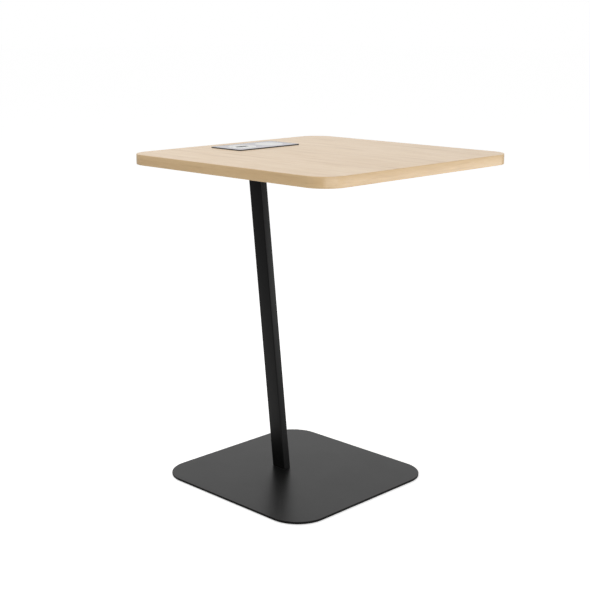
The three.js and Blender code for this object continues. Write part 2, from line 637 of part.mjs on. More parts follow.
// Barrel inlet in the rear face of the post, square to the leaning wall
const inletFaceZ = FIT_GAP + INLET_FLANGE_T;
const pinLowZ = inletFaceZ - INLET_BORE_DEPTH;
const pinTopZ = inletFaceZ - INLET_PIN_SUNK;
const socket = turned([
  [0, inletBackZ],
  [INLET_D / 2, inletBackZ],
  [INLET_D / 2, FIT_GAP],
  [INLET_FLANGE_D / 2, FIT_GAP],
  [INLET_FLANGE_D / 2, inletFaceZ],
  [INLET_BORE / 2, inletFaceZ],
  [INLET_BORE / 2, pinLowZ],
  [0, pinLowZ],
]);
place('inlet_socket', socket, 'blackPlastic', inlet);
const pin = turned([
  [0, pinLowZ],
  [INLET_PIN_D / 2, pinLowZ],
  [INLET_PIN_D / 2, pinTopZ - INLET_PIN_TIP],
  [0, pinTopZ],
], 12);
place('inlet_pin', pin, 'brass', inlet);
const nutTopZ = -POST_WALL - FIT_GAP;
const nut = withHoles(new THREE.Shape(), [round(new THREE.Path(), INLET_D + 2 * FIT_GAP)]);
for (let k = 0; k < 6; k += 1) {
  const a = (k * Math.PI) / 3;
  const point = [INLET_NUT_D / 2 * Math.cos(a), INLET_NUT_D / 2 * Math.sin(a)];
  if (k === 0) nut.moveTo(...point);
  else nut.lineTo(...point);
}
nut.closePath();
place('inlet_nut', slab(nut, nutTopZ - INLET_NUT_T, nutTopZ), 'zinc', inlet);

export default table;
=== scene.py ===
import math

import bmesh
import bpy
from mathutils import Matrix, Vector


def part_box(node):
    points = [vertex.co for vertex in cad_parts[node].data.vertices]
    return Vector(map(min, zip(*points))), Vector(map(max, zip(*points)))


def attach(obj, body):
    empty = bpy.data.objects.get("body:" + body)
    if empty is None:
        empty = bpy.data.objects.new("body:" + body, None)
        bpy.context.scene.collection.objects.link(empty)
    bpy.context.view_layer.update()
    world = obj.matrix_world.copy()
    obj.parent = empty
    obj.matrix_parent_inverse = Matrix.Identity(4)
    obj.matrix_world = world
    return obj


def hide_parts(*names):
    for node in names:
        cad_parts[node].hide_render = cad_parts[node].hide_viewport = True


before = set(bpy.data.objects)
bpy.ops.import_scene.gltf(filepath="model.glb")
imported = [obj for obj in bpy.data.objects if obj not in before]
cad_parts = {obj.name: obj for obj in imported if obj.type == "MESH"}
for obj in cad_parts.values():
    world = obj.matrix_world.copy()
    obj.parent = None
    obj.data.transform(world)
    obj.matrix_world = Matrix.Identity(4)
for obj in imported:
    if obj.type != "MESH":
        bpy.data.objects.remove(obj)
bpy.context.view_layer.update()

# Base plate: one flat piece of 5 mm steel with large corner radii, laser cut and eased along its edges.
# It is powder coated satin black, so its top mirrors the white room softly. Two countersinks below
# take the screws that hold the post.
MM = 0.001
SAME_SPOT = 0.002 * MM
SHARP_ANGLE = 35
BASE_CORNER = 71 * MM
BASE_EASE = 0.8 * MM
LEVEL_FACE = 0.95
COAT_TONES = (0.3, 0.7)
PEEL_SCALE = 900.0
PEEL_HEIGHT = 0.03 * MM
WEAR_WIDTH = 1.2 * MM


def add(tree, kind, inputs=None, **settings):
    """A new node with its settings, and each input either linked or set."""
    made = tree.nodes.new(kind)
    for key, value in settings.items():
        setattr(made, key, value)
    for key, value in (inputs or {}).items():
        if isinstance(value, bpy.types.NodeSocket):
            tree.links.new(value, made.inputs[key])
        else:
            made.inputs[key].default_value = value
    return made


def new_group(name, kind, inputs, outputs):
    """An empty node group with its named sockets, and what it is given."""
    tree = bpy.data.node_groups.new(name, kind)
    for in_out, labels in (("INPUT", inputs), ("OUTPUT", outputs)):
        for label, socket in labels.items():
            tree.interface.new_socket(name=label, in_out=in_out, socket_type="NodeSocket" + socket)
    return tree, tree.nodes.new("NodeGroupInput").outputs


def joined(tree, *parts):
    """Several geometries as one, in the order given."""
    join = tree.nodes.new("GeometryNodeJoinGeometry")
    for part in reversed(parts):
        tree.links.new(part, join.inputs[0])
    return join.outputs[0]


def upward(tree, height):
    """A vector straight up."""
    return add(tree, "ShaderNodeCombineXYZ", {"Z": height}).outputs[0]


def moved(tree, geometry, by):
    """The geometry moved by a vector."""
    return add(tree, "GeometryNodeTransform", {"Geometry": geometry, "Translation": by}).outputs[0]


def dressed(tree, geometry, finish):
    """Every tree ends the same way: real geometry with its finish on."""
    real = add(tree, "GeometryNodeRealizeInstances", {0: geometry})
    done = add(tree, "GeometryNodeSetMaterial", {"Geometry": real.outputs[0], "Material": finish})
    add(tree, "NodeGroupOutput", {0: done.outputs[0]})
    return tree


def cut_sheet_tree():
    """A flat sheet with rounded corners, cut out inside the closed lines it is given."""
    tree, given = new_group(
        "cut_sheet", "GeometryNodeTree",
        {"Cut Lines": "Geometry", "Width": "Float", "Depth": "Float", "Corner Radius": "Float",
         "Corner Steps": "Int", "Middle": "Vector", "Level": "Float", "Thickness": "Float",
         "Finish": "Material"},
        {"Sheet": "Geometry"})
    square = add(tree, "GeometryNodeCurvePrimitiveQuadrilateral",
                 {"Width": given["Width"], "Height": given["Depth"]})
    rounded = add(tree, "GeometryNodeFilletCurve",
                  {"Curve": square.outputs[0], "Count": given["Corner Steps"],
                   "Radius": given["Corner Radius"]}, mode="POLY")
    outline = moved(tree, rounded.outputs[0], given["Middle"])
    cuts = add(tree, "GeometryNodeMeshToCurve", {"Mesh": given["Cut Lines"]})
    face = add(tree, "GeometryNodeFillCurve", {"Curve": joined(tree, outline, cuts.outputs[0])}, mode="NGONS")
    raised = add(tree, "GeometryNodeExtrudeMesh",
                 {"Mesh": face.outputs[0], "Offset": upward(tree, given["Thickness"]), "Individual": False})
    under = add(tree, "GeometryNodeFlipFaces", {"Mesh": face.outputs[0]})
    whole = add(tree, "GeometryNodeMergeByDistance",
                {"Geometry": joined(tree, raised.outputs[0], under.outputs[0]), "Distance": SAME_SPOT})
    return dressed(tree, moved(tree, whole.outputs[0], upward(tree, given["Level"])), given["Finish"])


def new_object(name, bm):
    """An object at the origin that holds the built mesh."""
    mesh = bpy.data.meshes.new(name)
    bm.to_mesh(mesh)
    bm.free()
    made = bpy.data.objects.new(name, mesh)
    bpy.context.scene.collection.objects.link(made)
    return made


def worked_out(obj):
    """Turns the modifiers into the object's own mesh."""
    bpy.context.view_layer.update()
    seen = obj.evaluated_get(bpy.context.evaluated_depsgraph_get())
    made = bpy.data.meshes.new_from_object(seen)
    obj.modifiers.clear()
    obj.data = made


def through_tree(obj, tree, values):
    """Runs a geometry tree on an object with its inputs set, and keeps the result as a mesh."""
    step = obj.modifiers.new(tree.name, "NODES")
    step.node_group = tree
    for item in tree.interface.items_tree:
        if item.in_out == "INPUT" and item.name in values:
            step[item.identifier] = values[item.name]
    worked_out(obj)
    for k in reversed(range(len(obj.data.materials))):
        if not obj.data.materials[k]:
            obj.data.materials.pop(index=k)
    return obj


def eased(obj, width, segments=3, angle=SHARP_ANGLE):
    """Joins up the faces, rounds the sharp edges by a width, if any, and shades smooth between them."""
    bm = bmesh.new()
    bm.from_mesh(obj.data)
    bmesh.ops.remove_doubles(bm, verts=bm.verts, dist=SAME_SPOT)
    bmesh.ops.recalc_face_normals(bm, faces=bm.faces)
    for face in bm.faces:
        face.smooth = True
    bm.to_mesh(obj.data)
    bm.free()
    if width:
        bevel = obj.modifiers.new("ease", "BEVEL")
        bevel.width = width
        bevel.segments = segments
        bevel.limit_method = "ANGLE"
        bevel.angle_limit = math.radians(angle)
        bevel.harden_normals = True
        worked_out(obj)
    else:
        obj.data.set_sharp_from_angle(angle=math.radians(angle))
    return obj


def loop(bm, points, z):
    """A closed line of edges at one height."""
    verts = [bm.verts.new((x, y, z)) for x, y in points]
    for a, b in zip(verts, verts[1:] + verts[:1]):
        bm.edges.new((a, b))


cut_sheet = cut_sheet_tree()


def sheet(name, node, radius, cuts, material, ease, steps=12):
    """A cut sheet that fills a solid's box, with its edges eased."""
    low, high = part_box(node)
    size, middle = high - low, (low + high) / 2
    bm = bmesh.new()
    for line in cuts:
        loop(bm, line, 0)
    made = through_tree(new_object(name, bm), cut_sheet, {
        "Width": size.x, "Depth": size.y, "Corner Radius": radius, "Corner Steps": steps,
        "Middle": (middle.x, middle.y, 0.0), "Level": low.z, "Thickness": size.z, "Finish": material})
    return eased(made, ease)


def part_of(piece, slot, *nodes):
    """The piece belongs to the table's one body and stands for these solids."""
    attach(piece, "root")
    if nodes:
        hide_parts(*nodes)


def paint(red, green, blue):
    """A colour from its usual 0 to 255 values."""
    def straight(v):
        v /= 255
        return v / 12.92 if v <= 0.04045 else ((v + 0.055) / 1.055) ** 2.4
    return (straight(red), straight(green), straight(blue), 1.0)


def new_material(name, plain):
    """A material and its shader, with the values that are the same all over set on the shader."""
    made = bpy.data.materials.new(name)
    made.use_nodes = True
    shader = made.node_tree.nodes["Principled BSDF"]
    for key, value in plain.items():
        shader.inputs[key].default_value = value
    return made, made.node_tree, shader


def noise(tree, place, scale, detail, roughness=0.5, distortion=0.0):
    """A soft value that changes from place to place."""
    return add(tree, "ShaderNodeTexNoise",
               {"Vector": place, "Scale": scale, "Detail": detail, "Roughness": roughness,
                "Distortion": distortion}).outputs["Fac"]


def spread(tree, value, low, high, to_low=0.0, to_high=1.0):
    """Stretches a value's range over another one, and stops at its ends."""
    return add(tree, "ShaderNodeMapRange",
               {"Value": value, "From Min": low, "From Max": high, "To Min": to_low,
                "To Max": to_high}).outputs[0]


def maths(tree, operation, *values):
    """One step of arithmetic."""
    return add(tree, "ShaderNodeMath", dict(enumerate(values)), operation=operation).outputs[0]


def blend(tree, share, first, second):
    """A colour that goes from the first to the second by a share."""
    return add(tree, "ShaderNodeMix", {"Factor": share, 6: first, 7: second}, data_type="RGBA").outputs[2]


def covered(tree, shader, colour, rough, height, strength, relief):
    """Puts a colour, a roughness and a relief on the shader."""
    bump = add(tree, "ShaderNodeBump", {"Height": height, "Strength": strength, "Distance": relief})
    tree.links.new(colour, shader.inputs["Base Color"])
    tree.links.new(rough, shader.inputs["Roughness"])
    tree.links.new(bump.outputs[0], shader.inputs["Normal"])


def coat_grain_group():
    """Powder coat: a fine orange-peel skin, slow changes of tone, and a paler line where edges rub."""
    tree, given = new_group("coat_grain", "ShaderNodeTree", {"Peel Scale": "Float", "Wear Width": "Float"},
                            {"Tone": "Float", "Peel": "Float", "Wear": "Float"})
    place = tree.nodes.new("ShaderNodeTexCoord").outputs["Object"]
    soft = add(tree, "ShaderNodeBevel", {"Radius": given["Wear Width"]}, samples=4)
    flat = tree.nodes.new("ShaderNodeNewGeometry")
    turn = add(tree, "ShaderNodeVectorMath", {0: soft.outputs[0], 1: flat.outputs["Normal"]},
               operation="DOT_PRODUCT")
    edge = spread(tree, turn.outputs["Value"], low=0.995, high=0.80)
    patch = noise(tree, place, scale=60.0, detail=3.0)
    add(tree, "NodeGroupOutput",
        {"Tone": noise(tree, place, scale=9.0, detail=4.0, roughness=0.6),
         "Peel": noise(tree, place, given["Peel Scale"], detail=2.0),
         "Wear": maths(tree, "MULTIPLY", edge, patch)})
    return tree


coat_grain = coat_grain_group()


def coated_steel(name, dark, pale, rub, rough, plain):
    """Powder-coated steel, with its tone, sheen, peel and rubbed edges from the coat's grain."""
    made, tree, shader = new_material(name, plain)
    grain = add(tree, "ShaderNodeGroup", {"Peel Scale": PEEL_SCALE, "Wear Width": WEAR_WIDTH},
                node_tree=coat_grain).outputs
    body = blend(tree, grain["Tone"], dark, pale)
    covered(tree, shader, colour=blend(tree, grain["Wear"], body, rub),
            rough=spread(tree, grain["Tone"], *COAT_TONES, *rough),
            height=grain["Peel"], strength=0.5, relief=PEEL_HEIGHT)
    return made


base_coat = coated_steel("base_coat", dark=paint(5, 5, 5), pale=paint(8, 8, 8), rub=paint(26, 26, 27),
                         rough=(0.33, 0.36), plain={"Specular IOR Level": 0.22})
# Painted shade: the plate's sides and eased edges take a darker, duller copy of the base coat, so that the
# edge shows as a dark line.
shaded_edge_coat = coated_steel("shaded_edge_coat", dark=paint(5, 5, 5), pale=paint(8, 8, 8), rub=paint(20, 20, 21),
                         rough=(0.45, 0.55), plain={"Specular IOR Level": 0.08})
base_plate = sheet("base_plate_steel", "base_plate", BASE_CORNER, [], base_coat, BASE_EASE, steps=24)
# Faces that are not level take that darker copy, as painted shade along the plate's edge.
base_plate.data.materials.append(shaded_edge_coat)
for face in base_plate.data.polygons:
    face.material_index = int(abs(face.normal.z) < LEVEL_FACE)
part_of(base_plate, "charcoal_steel", "base_plate")

# Countersinks: two screw holes drilled through the plate and opened to cones on its underside, so that
# the screw heads stay above the floor.
SCREW_BORE = 3.3 * MM
SINK_WIDE = 6.3 * MM
SINK_DEEP = 3.0 * MM
PAST = 1 * MM


def skin_rings(bm, rings, closed=False):
    """Quads between each ring of points and the next, and back to the first one if closed."""
    made = [[bm.verts.new(p) for p in ring] for ring in rings]
    after = made[1:] + made[:1] if closed else made[1:]
    for a, b in zip(made, after):
        for i in range(len(a)):
            j = (i + 1) % len(a)
            bm.faces.new((a[i], a[j], b[j], b[i]))
    return made


def circle(x, y, radius, count):
    """Points round a circle."""
    turn = 2 * math.pi / count
    return [(x + radius * math.cos(k * turn), y + radius * math.sin(k * turn)) for k in range(count)]


def turned(name, spot, profile, sides):
    """A shape turned from a profile of radius and height that starts and ends on the axis."""
    bm = bmesh.new()
    rings = [[(x, y, z) for x, y in circle(spot.x, spot.y, r, sides)] for r, z in profile[1:-1]]
    made = skin_rings(bm, rings)
    for ring, (_, z) in ((made[0], profile[0]), (made[-1], profile[-1])):
        tip = bm.verts.new((spot.x, spot.y, z))
        for a, b in zip(ring, ring[1:] + ring[:1]):
            bm.faces.new((a, b, tip))
    bmesh.ops.recalc_face_normals(bm, faces=bm.faces)
    return new_object(name, bm)


def hollowed(obj, cutter):
    """Takes the cutter's volume away from the object."""
    cut = obj.modifiers.new("cut", "BOOLEAN")
    cut.object = cutter
    cut.solver = "EXACT"
    worked_out(obj)
    bpy.data.objects.remove(cutter)


def middle_of(node):
    """The middle of a solid's box."""
    low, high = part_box(node)
    return (low + high) / 2


base_screws = ["base_screw_1", "base_screw_2"]
plate_low, plate_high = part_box("base_plate")
flare = SINK_WIDE + PAST * (SINK_WIDE - SCREW_BORE) / SINK_DEEP
drill = [(0, plate_low.z - PAST), (flare, plate_low.z - PAST), (SCREW_BORE, plate_low.z + SINK_DEEP),
         (SCREW_BORE, plate_high.z + PAST), (0, plate_high.z + PAST)]
for node in base_screws:
    hollowed(base_plate, turned("drill", middle_of(node), drill, sides=40))

# Glides: four round pads of pressed felt, punched from sheet and stuck under the corners of the plate.
# The cut edge is a little fluffy, so the rims are soft.
PAD_EASE = 0.4 * MM
GRAIN_TONES = (0.25, 0.75)


def size_of(node):
    """The size of a solid's box."""
    low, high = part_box(node)
    return high - low


def stuck_pads_tree():
    """A round pad at each spot."""
    tree, given = new_group(
        "stuck_pads", "GeometryNodeTree",
        {"Spots": "Geometry", "Diameter": "Float", "Thickness": "Float", "Finish": "Material"},
        {"Pads": "Geometry"})
    pad = add(tree, "GeometryNodeMeshCylinder",
              {"Vertices": 48, "Radius": maths(tree, "MULTIPLY", given["Diameter"], 0.5),
               "Depth": given["Thickness"]})
    copies = add(tree, "GeometryNodeInstanceOnPoints", {"Points": given["Spots"], "Instance": pad.outputs[0]})
    return dressed(tree, copies.outputs[0], given["Finish"])


def fibre_group():
    """Short tangled fibres: a tone that changes from thread to thread, and their relief."""
    tree, given = new_group("fibre", "ShaderNodeTree", {"Fibre Scale": "Float"},
                            {"Tone": "Float", "Relief": "Float"})
    place = tree.nodes.new("ShaderNodeTexCoord").outputs["Object"]
    strand = noise(tree, place, given["Fibre Scale"], detail=6.0, roughness=0.7, distortion=2.5)
    clump = noise(tree, place, scale=160.0, detail=2.0)
    add(tree, "NodeGroupOutput", {"Tone": maths(tree, "MULTIPLY", strand, clump), "Relief": strand})
    return tree


fibre = fibre_group()


def two_tone(name, group, settings, dark, pale, rough, relief, tone="Tone", height="Relief", plain=None):
    """A finish whose colour, roughness and relief all come from one grain group."""
    made, tree, shader = new_material(name, plain or {})
    grain = add(tree, "ShaderNodeGroup", settings, node_tree=group).outputs
    covered(tree, shader, colour=blend(tree, spread(tree, grain[tone], *GRAIN_TONES), dark, pale),
            rough=spread(tree, grain[tone], *GRAIN_TONES, *rough),
            height=grain[height], strength=0.6, relief=relief)
    return made


felt = two_tone("felt", fibre, {"Fibre Scale": 900.0}, dark=paint(38, 38, 39), pale=paint(92, 92, 93),
                rough=(0.9, 1.0), relief=0.4 * MM)
pad_names = [f"glide_pad_{i}" for i in (1, 2, 3, 4)]
pad_size = size_of(pad_names[0])
bm = bmesh.new()
for name in pad_names:
    bm.verts.new(middle_of(name))
pads = through_tree(new_object("felt_glides", bm), stuck_pads_tree(), {
    "Diameter": pad_size.x, "Thickness": pad_size.z, "Finish": felt})
part_of(eased(pads, PAD_EASE), "felt", *pad_names)

# Foot: a zinc-plated steel block slid into the tube and fixed there, tapped for two countersunk screws
# that come up through the base plate.
KEY_PAST = 0.2 * MM


def stretched(tree, vector, by):
    """A vector with each axis multiplied by its own share."""
    return add(tree, "ShaderNodeVectorMath", {0: vector, 1: by}, operation="MULTIPLY").outputs[0]


def brushed_group():
    """Fine drawn lines along one direction, with slow smears across them."""
    tree, given = new_group("brushed", "ShaderNodeTree", {"Along": "Vector", "Line Scale": "Float"},
                            {"Line": "Float", "Smear": "Float"})
    place = tree.nodes.new("ShaderNodeTexCoord").outputs["Object"]
    drawn = stretched(tree, place, given["Along"])
    add(tree, "NodeGroupOutput", {"Line": noise(tree, drawn, given["Line Scale"], detail=5.0, roughness=0.65),
                                  "Smear": noise(tree, place, scale=45.0, detail=3.0)})
    return tree


brushed = brushed_group()
zinc = two_tone("zinc_plate", brushed, {"Along": (1.0, 1.0, 0.15), "Line Scale": 1500.0},
                dark=paint(158, 161, 164), pale=paint(196, 198, 200), rough=(0.28, 0.42), relief=0.02 * MM,
                tone="Smear", height="Line", plain={"Metallic": 1.0})


def repaint(material, slot, *nodes):
    """A solid whose shape is right keeps it and takes a better finish."""
    for name in nodes:
        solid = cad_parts[name]
        solid.material_slots[0].material = material


repaint(zinc, "zinc_steel", "foot_block")


def driven_screws_tree():
    """Screws with a tapered head, a plain shank and a six-sided key hole, head down at each seat."""
    tree, given = new_group(
        "driven_screws", "GeometryNodeTree",
        {"Seats": "Geometry", "Face Diameter": "Float", "Seat Diameter": "Float", "Head Height": "Float",
         "Shank Diameter": "Float", "Length": "Float", "Key Width": "Float", "Key Depth": "Float",
         "Finish": "Material"},
        {"Screws": "Geometry"})

    def half(value):
        return maths(tree, "MULTIPLY", value, 0.5)

    head = add(tree, "GeometryNodeMeshCone",
               {"Vertices": 40, "Radius Top": half(given["Seat Diameter"]),
                "Radius Bottom": half(given["Face Diameter"]), "Depth": given["Head Height"]})
    inside = half(given["Head Height"])
    reach = maths(tree, "SUBTRACT", given["Length"], inside)
    shank = add(tree, "GeometryNodeMeshCylinder",
                {"Vertices": 24, "Radius": half(given["Shank Diameter"]), "Depth": reach})
    middle = upward(tree, maths(tree, "ADD", half(reach), inside))
    whole = add(tree, "GeometryNodeMeshBoolean", operation="UNION", solver="EXACT")
    tree.links.new(head.outputs[0], whole.inputs[1])
    tree.links.new(moved(tree, shank.outputs[0], middle), whole.inputs[1])
    key = add(tree, "GeometryNodeMeshCylinder",
              {"Vertices": 6, "Radius": half(given["Key Width"]), "Depth": given["Key Depth"]})
    sunk = upward(tree, maths(tree, "SUBTRACT", half(given["Key Depth"]), KEY_PAST))
    drilled = add(tree, "GeometryNodeMeshBoolean",
                  {0: whole.outputs[0], 1: moved(tree, key.outputs[0], sunk)},
                  operation="DIFFERENCE", solver="EXACT")
    copies = add(tree, "GeometryNodeInstanceOnPoints",
                 {"Points": given["Seats"], "Instance": drilled.outputs[0]})
    return dressed(tree, copies.outputs[0], given["Finish"])


driven_screws = driven_screws_tree()


def screws(name, nodes, ease, sizes):
    """One set of like screws, each with its head's face at the bottom of its solid."""
    bm = bmesh.new()
    for node in nodes:
        spot = middle_of(node)
        spot.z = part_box(node)[0].z
        bm.verts.new(spot)
    values = {"Length": size_of(nodes[0]).z, "Finish": zinc, **sizes}
    made = through_tree(new_object(name, bm), driven_screws, values)
    part_of(eased(made, ease, segments=2), "zinc_steel", *nodes)


screws("countersunk_screws", base_screws, ease=0.06 * MM, sizes={
    "Face Diameter": 12 * MM, "Seat Diameter": 6.6 * MM, "Head Height": 3 * MM, "Shank Diameter": 6 * MM,
    "Key Width": 4.4 * MM, "Key Depth": 1.8 * MM})

# Post: one length of 40 x 20 mm rectangular steel tube with 2 mm walls, cut level at both ends so that it
# leans back as it rises. It is powder coated near-black and mirrors the room less than the base. A round
# hole low in the rear face takes the power inlet.
LEAN = math.radians(6.4)
TUBE_WIDE = 20 * MM
TUBE_DEEP = 40 * MM / math.cos(LEAN)
TUBE_WALL = 2 * MM
TUBE_CORNER = 4 * MM
TUBE_LENGTHS = 8
TUBE_STEPS = 8
INLET_HEIGHT = 64 * MM
INLET_BORE = 5.3 * MM
INLET_REACH = 6 * MM
tube_low, tube_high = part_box("post_tube")
foot_y = tube_low.y + TUBE_DEEP / 2
head_y = tube_high.y - TUBE_DEEP / 2


def leaning_y(z):
    """Where the middle of the leaning tube is at a height."""
    return foot_y + (head_y - foot_y) * (z - tube_low.z) / (tube_high.z - tube_low.z)


def rounded_box(x, y, width, depth, radius, steps=6):
    """Points round a rectangle with rounded corners."""
    points = []
    for quarter, (sx, sy) in enumerate(((1, 1), (-1, 1), (-1, -1), (1, -1))):
        for k in range(steps + 1):
            a = (quarter + k / steps) * math.pi / 2
            points.append((x + sx * (width / 2 - radius) + radius * math.cos(a),
                           y + sy * (depth / 2 - radius) + radius * math.sin(a)))
    return points


def tube_ring(z, inset):
    """The tube's level outline at a height, drawn in by a part of its wall."""
    level = inset / math.cos(LEAN)
    flat = rounded_box(0, leaning_y(z), TUBE_WIDE - 2 * inset, TUBE_DEEP - 2 * level, TUBE_CORNER - inset,
                       TUBE_STEPS)
    return [(x, y, z) for x, y in flat]


post_coat = coated_steel("post_coat", dark=paint(2, 2, 2), pale=paint(4, 4, 4), rub=paint(22, 22, 23),
                         rough=(0.29, 0.33), plain={"Specular IOR Level": 0.125})
heights = [tube_low.z + (tube_high.z - tube_low.z) * k / TUBE_LENGTHS for k in range(TUBE_LENGTHS + 1)]
bm = bmesh.new()
outside = [tube_ring(z, 0) for z in heights]
inside = [tube_ring(z, TUBE_WALL) for z in reversed(heights)]
skin_rings(bm, outside + inside, closed=True)
post = new_object("post_steel", bm)
post.data.materials.append(post_coat)
inlet_spot = Vector((0, leaning_y(INLET_HEIGHT) + TUBE_DEEP / 2, INLET_HEIGHT))
inlet_drill = [(0, -INLET_REACH), (INLET_BORE, -INLET_REACH), (INLET_BORE, INLET_REACH), (0, INLET_REACH)]
bore = turned("bore", Vector(), inlet_drill, sides=40)
bore.data.transform(Matrix.Translation(inlet_spot) @ Matrix.Rotation(-(math.pi / 2 + LEAN), 4, "X"))
hollowed(eased(post, 0), bore)
post.data.set_sharp_from_angle(angle=math.radians(SHARP_ANGLE))
part_of(post, "black_steel", "post_tube")

# Head plate: a 5 mm steel plate welded square across the leaning head of the post and coated with it.
# It is wide enough to close the module's cut-out and take its screws outside that.
HEAD_CORNER = 10 * MM
HEAD_EASE = 0.6 * MM
HEAD_BORE = 3.3 * MM
GROMMET_BORE = 5.3 * MM
head_names = [f"head_screw_{i}" for i in range(1, 7)]
grommet_spot = middle_of("head_grommet")
head_cuts = [circle(middle_of(n).x, middle_of(n).y, HEAD_BORE, count=24) for n in head_names]
head_cuts.append(circle(grommet_spot.x, grommet_spot.y, GROMMET_BORE, count=32))
head_plate = sheet("head_plate_steel", "head_plate", HEAD_CORNER, head_cuts, post_coat, HEAD_EASE)
part_of(head_plate, "black_steel", "head_plate")

# Weld: one fillet of weld metal run all round the head of the post, close under the plate.
# It has the usual small ripples along it, and is coated with the post.
BEAD_RADIUS = 2.0 * MM
BEAD_DROP = 0.4 * MM
BEAD_SHARP = 60
RIPPLE_LENGTH = 3.2 * MM
RIPPLE_SHARE = 0.10


def weld_bead_tree():
    """A round bead along a closed path, whose radius rises and falls a little."""
    tree, given = new_group(
        "weld_bead", "GeometryNodeTree",
        {"Path": "Geometry", "Radius": "Float", "Ripple Length": "Float", "Ripple Share": "Float",
         "Finish": "Material"},
        {"Bead": "Geometry"})
    path = add(tree, "GeometryNodeMeshToCurve", {"Mesh": given["Path"]})
    fine = add(tree, "GeometryNodeResampleCurve", {"Curve": path.outputs[0], "Count": 420})
    along = tree.nodes.new("GeometryNodeSplineParameter").outputs["Length"]
    turns = maths(tree, "DIVIDE", along, given["Ripple Length"])
    swing = maths(tree, "SINE", maths(tree, "MULTIPLY", turns, 2 * math.pi))
    share = maths(tree, "MULTIPLY_ADD", swing, given["Ripple Share"], 1.0)
    section = add(tree, "GeometryNodeCurvePrimitiveCircle", {"Resolution": 12, "Radius": 1.0})
    bead = add(tree, "GeometryNodeCurveToMesh",
               {"Curve": fine.outputs[0], "Profile Curve": section.outputs[0],
                "Scale": maths(tree, "MULTIPLY", share, given["Radius"])})
    return dressed(tree, bead.outputs[0], given["Finish"])


bm = bmesh.new()
head_line = rounded_box(0, head_y, TUBE_WIDE, TUBE_DEEP, TUBE_CORNER, TUBE_STEPS)
loop(bm, head_line, tube_high.z - BEAD_DROP)
weld = through_tree(new_object("head_weld", bm), weld_bead_tree(), {
    "Radius": BEAD_RADIUS, "Ripple Length": RIPPLE_LENGTH, "Ripple Share": RIPPLE_SHARE, "Finish": post_coat})
part_of(eased(weld, 0, angle=BEAD_SHARP), "black_steel")

# Head screws: six button-head machine screws, zinc plated, that pull the head plate up to brass inserts
# in the board. A rubber grommet guards the lead where it passes through the plate.
screws("head_screws", head_names, ease=0.5 * MM, sizes={
    "Face Diameter": 8.4 * MM, "Seat Diameter": 11 * MM, "Head Height": 3.3 * MM, "Shank Diameter": 6 * MM,
    "Key Width": 4.6 * MM, "Key Depth": 2.2 * MM})
brass = two_tone("turned_brass", brushed, {"Along": (1.0, 1.0, 1.0), "Line Scale": 1200.0},
                 dark=paint(166, 133, 66), pale=paint(201, 170, 98), rough=(0.25, 0.4), relief=0.02 * MM,
                 tone="Smear", height="Line", plain={"Metallic": 1.0})
repaint(brass, "brass", *[f"threaded_insert_{i}" for i in range(1, 7)])
rubber = two_tone("rubber", fibre, {"Fibre Scale": 500.0}, dark=paint(17, 17, 17), pale=paint(31, 31, 31),
                  rough=(0.7, 0.85), relief=0.05 * MM, plain={"Specular IOR Level": 0.3})
repaint(rubber, "rubber", "head_grommet")

# Top board: a 20 mm particle-board core with a wood-look sheet above and a backing sheet below.
# The core is pressed chips and shows only inside the cut-out. Both sheets are glued and trimmed flush.
CORE_CORNER = 50 * MM
CORNER_STEPS = 20
SEAT = 3.5 * MM
CUT_CORNER = 3 * MM
FLANGE_HOLE = 6.3 * MM
GRAIN_RELIEF = 0.04 * MM
WOOD_TONES = (0.37, 0.63)
STREAK_TONES = (0.3, 0.7)
MARK_SHARE = 0.45
GRAIN_FRONT_TO_BACK = {"Stretch": (1.0, 0.06, 1.0), "Figure Scale": 5.0, "Band Scale": 26.0,
                       "Streak Scale": 170.0, "Fleck Scale": 75.0, "Pore Scale": 620.0}


def chip_group():
    """Flat pressed chips, each with its own tone."""
    tree, given = new_group("chips", "ShaderNodeTree", {"Chip Scale": "Float"},
                            {"Tone": "Float", "Relief": "Float"})
    place = tree.nodes.new("ShaderNodeTexCoord").outputs["Object"]
    flat = stretched(tree, place, (1.0, 1.0, 2.6))
    chip = add(tree, "ShaderNodeTexVoronoi", {"Vector": flat, "Scale": given["Chip Scale"]})
    tone = add(tree, "ShaderNodeSeparateColor", {0: chip.outputs["Color"]})
    add(tree, "NodeGroupOutput", {"Tone": tone.outputs[0], "Relief": chip.outputs["Distance"]})
    return tree


chips = chip_group()
chipboard = two_tone("chipboard", chips, {"Chip Scale": 420.0}, dark=paint(158, 126, 86),
                     pale=paint(204, 176, 134), rough=(0.8, 0.95), relief=0.3 * MM)
repaint(chipboard, "board_core", "core_board")


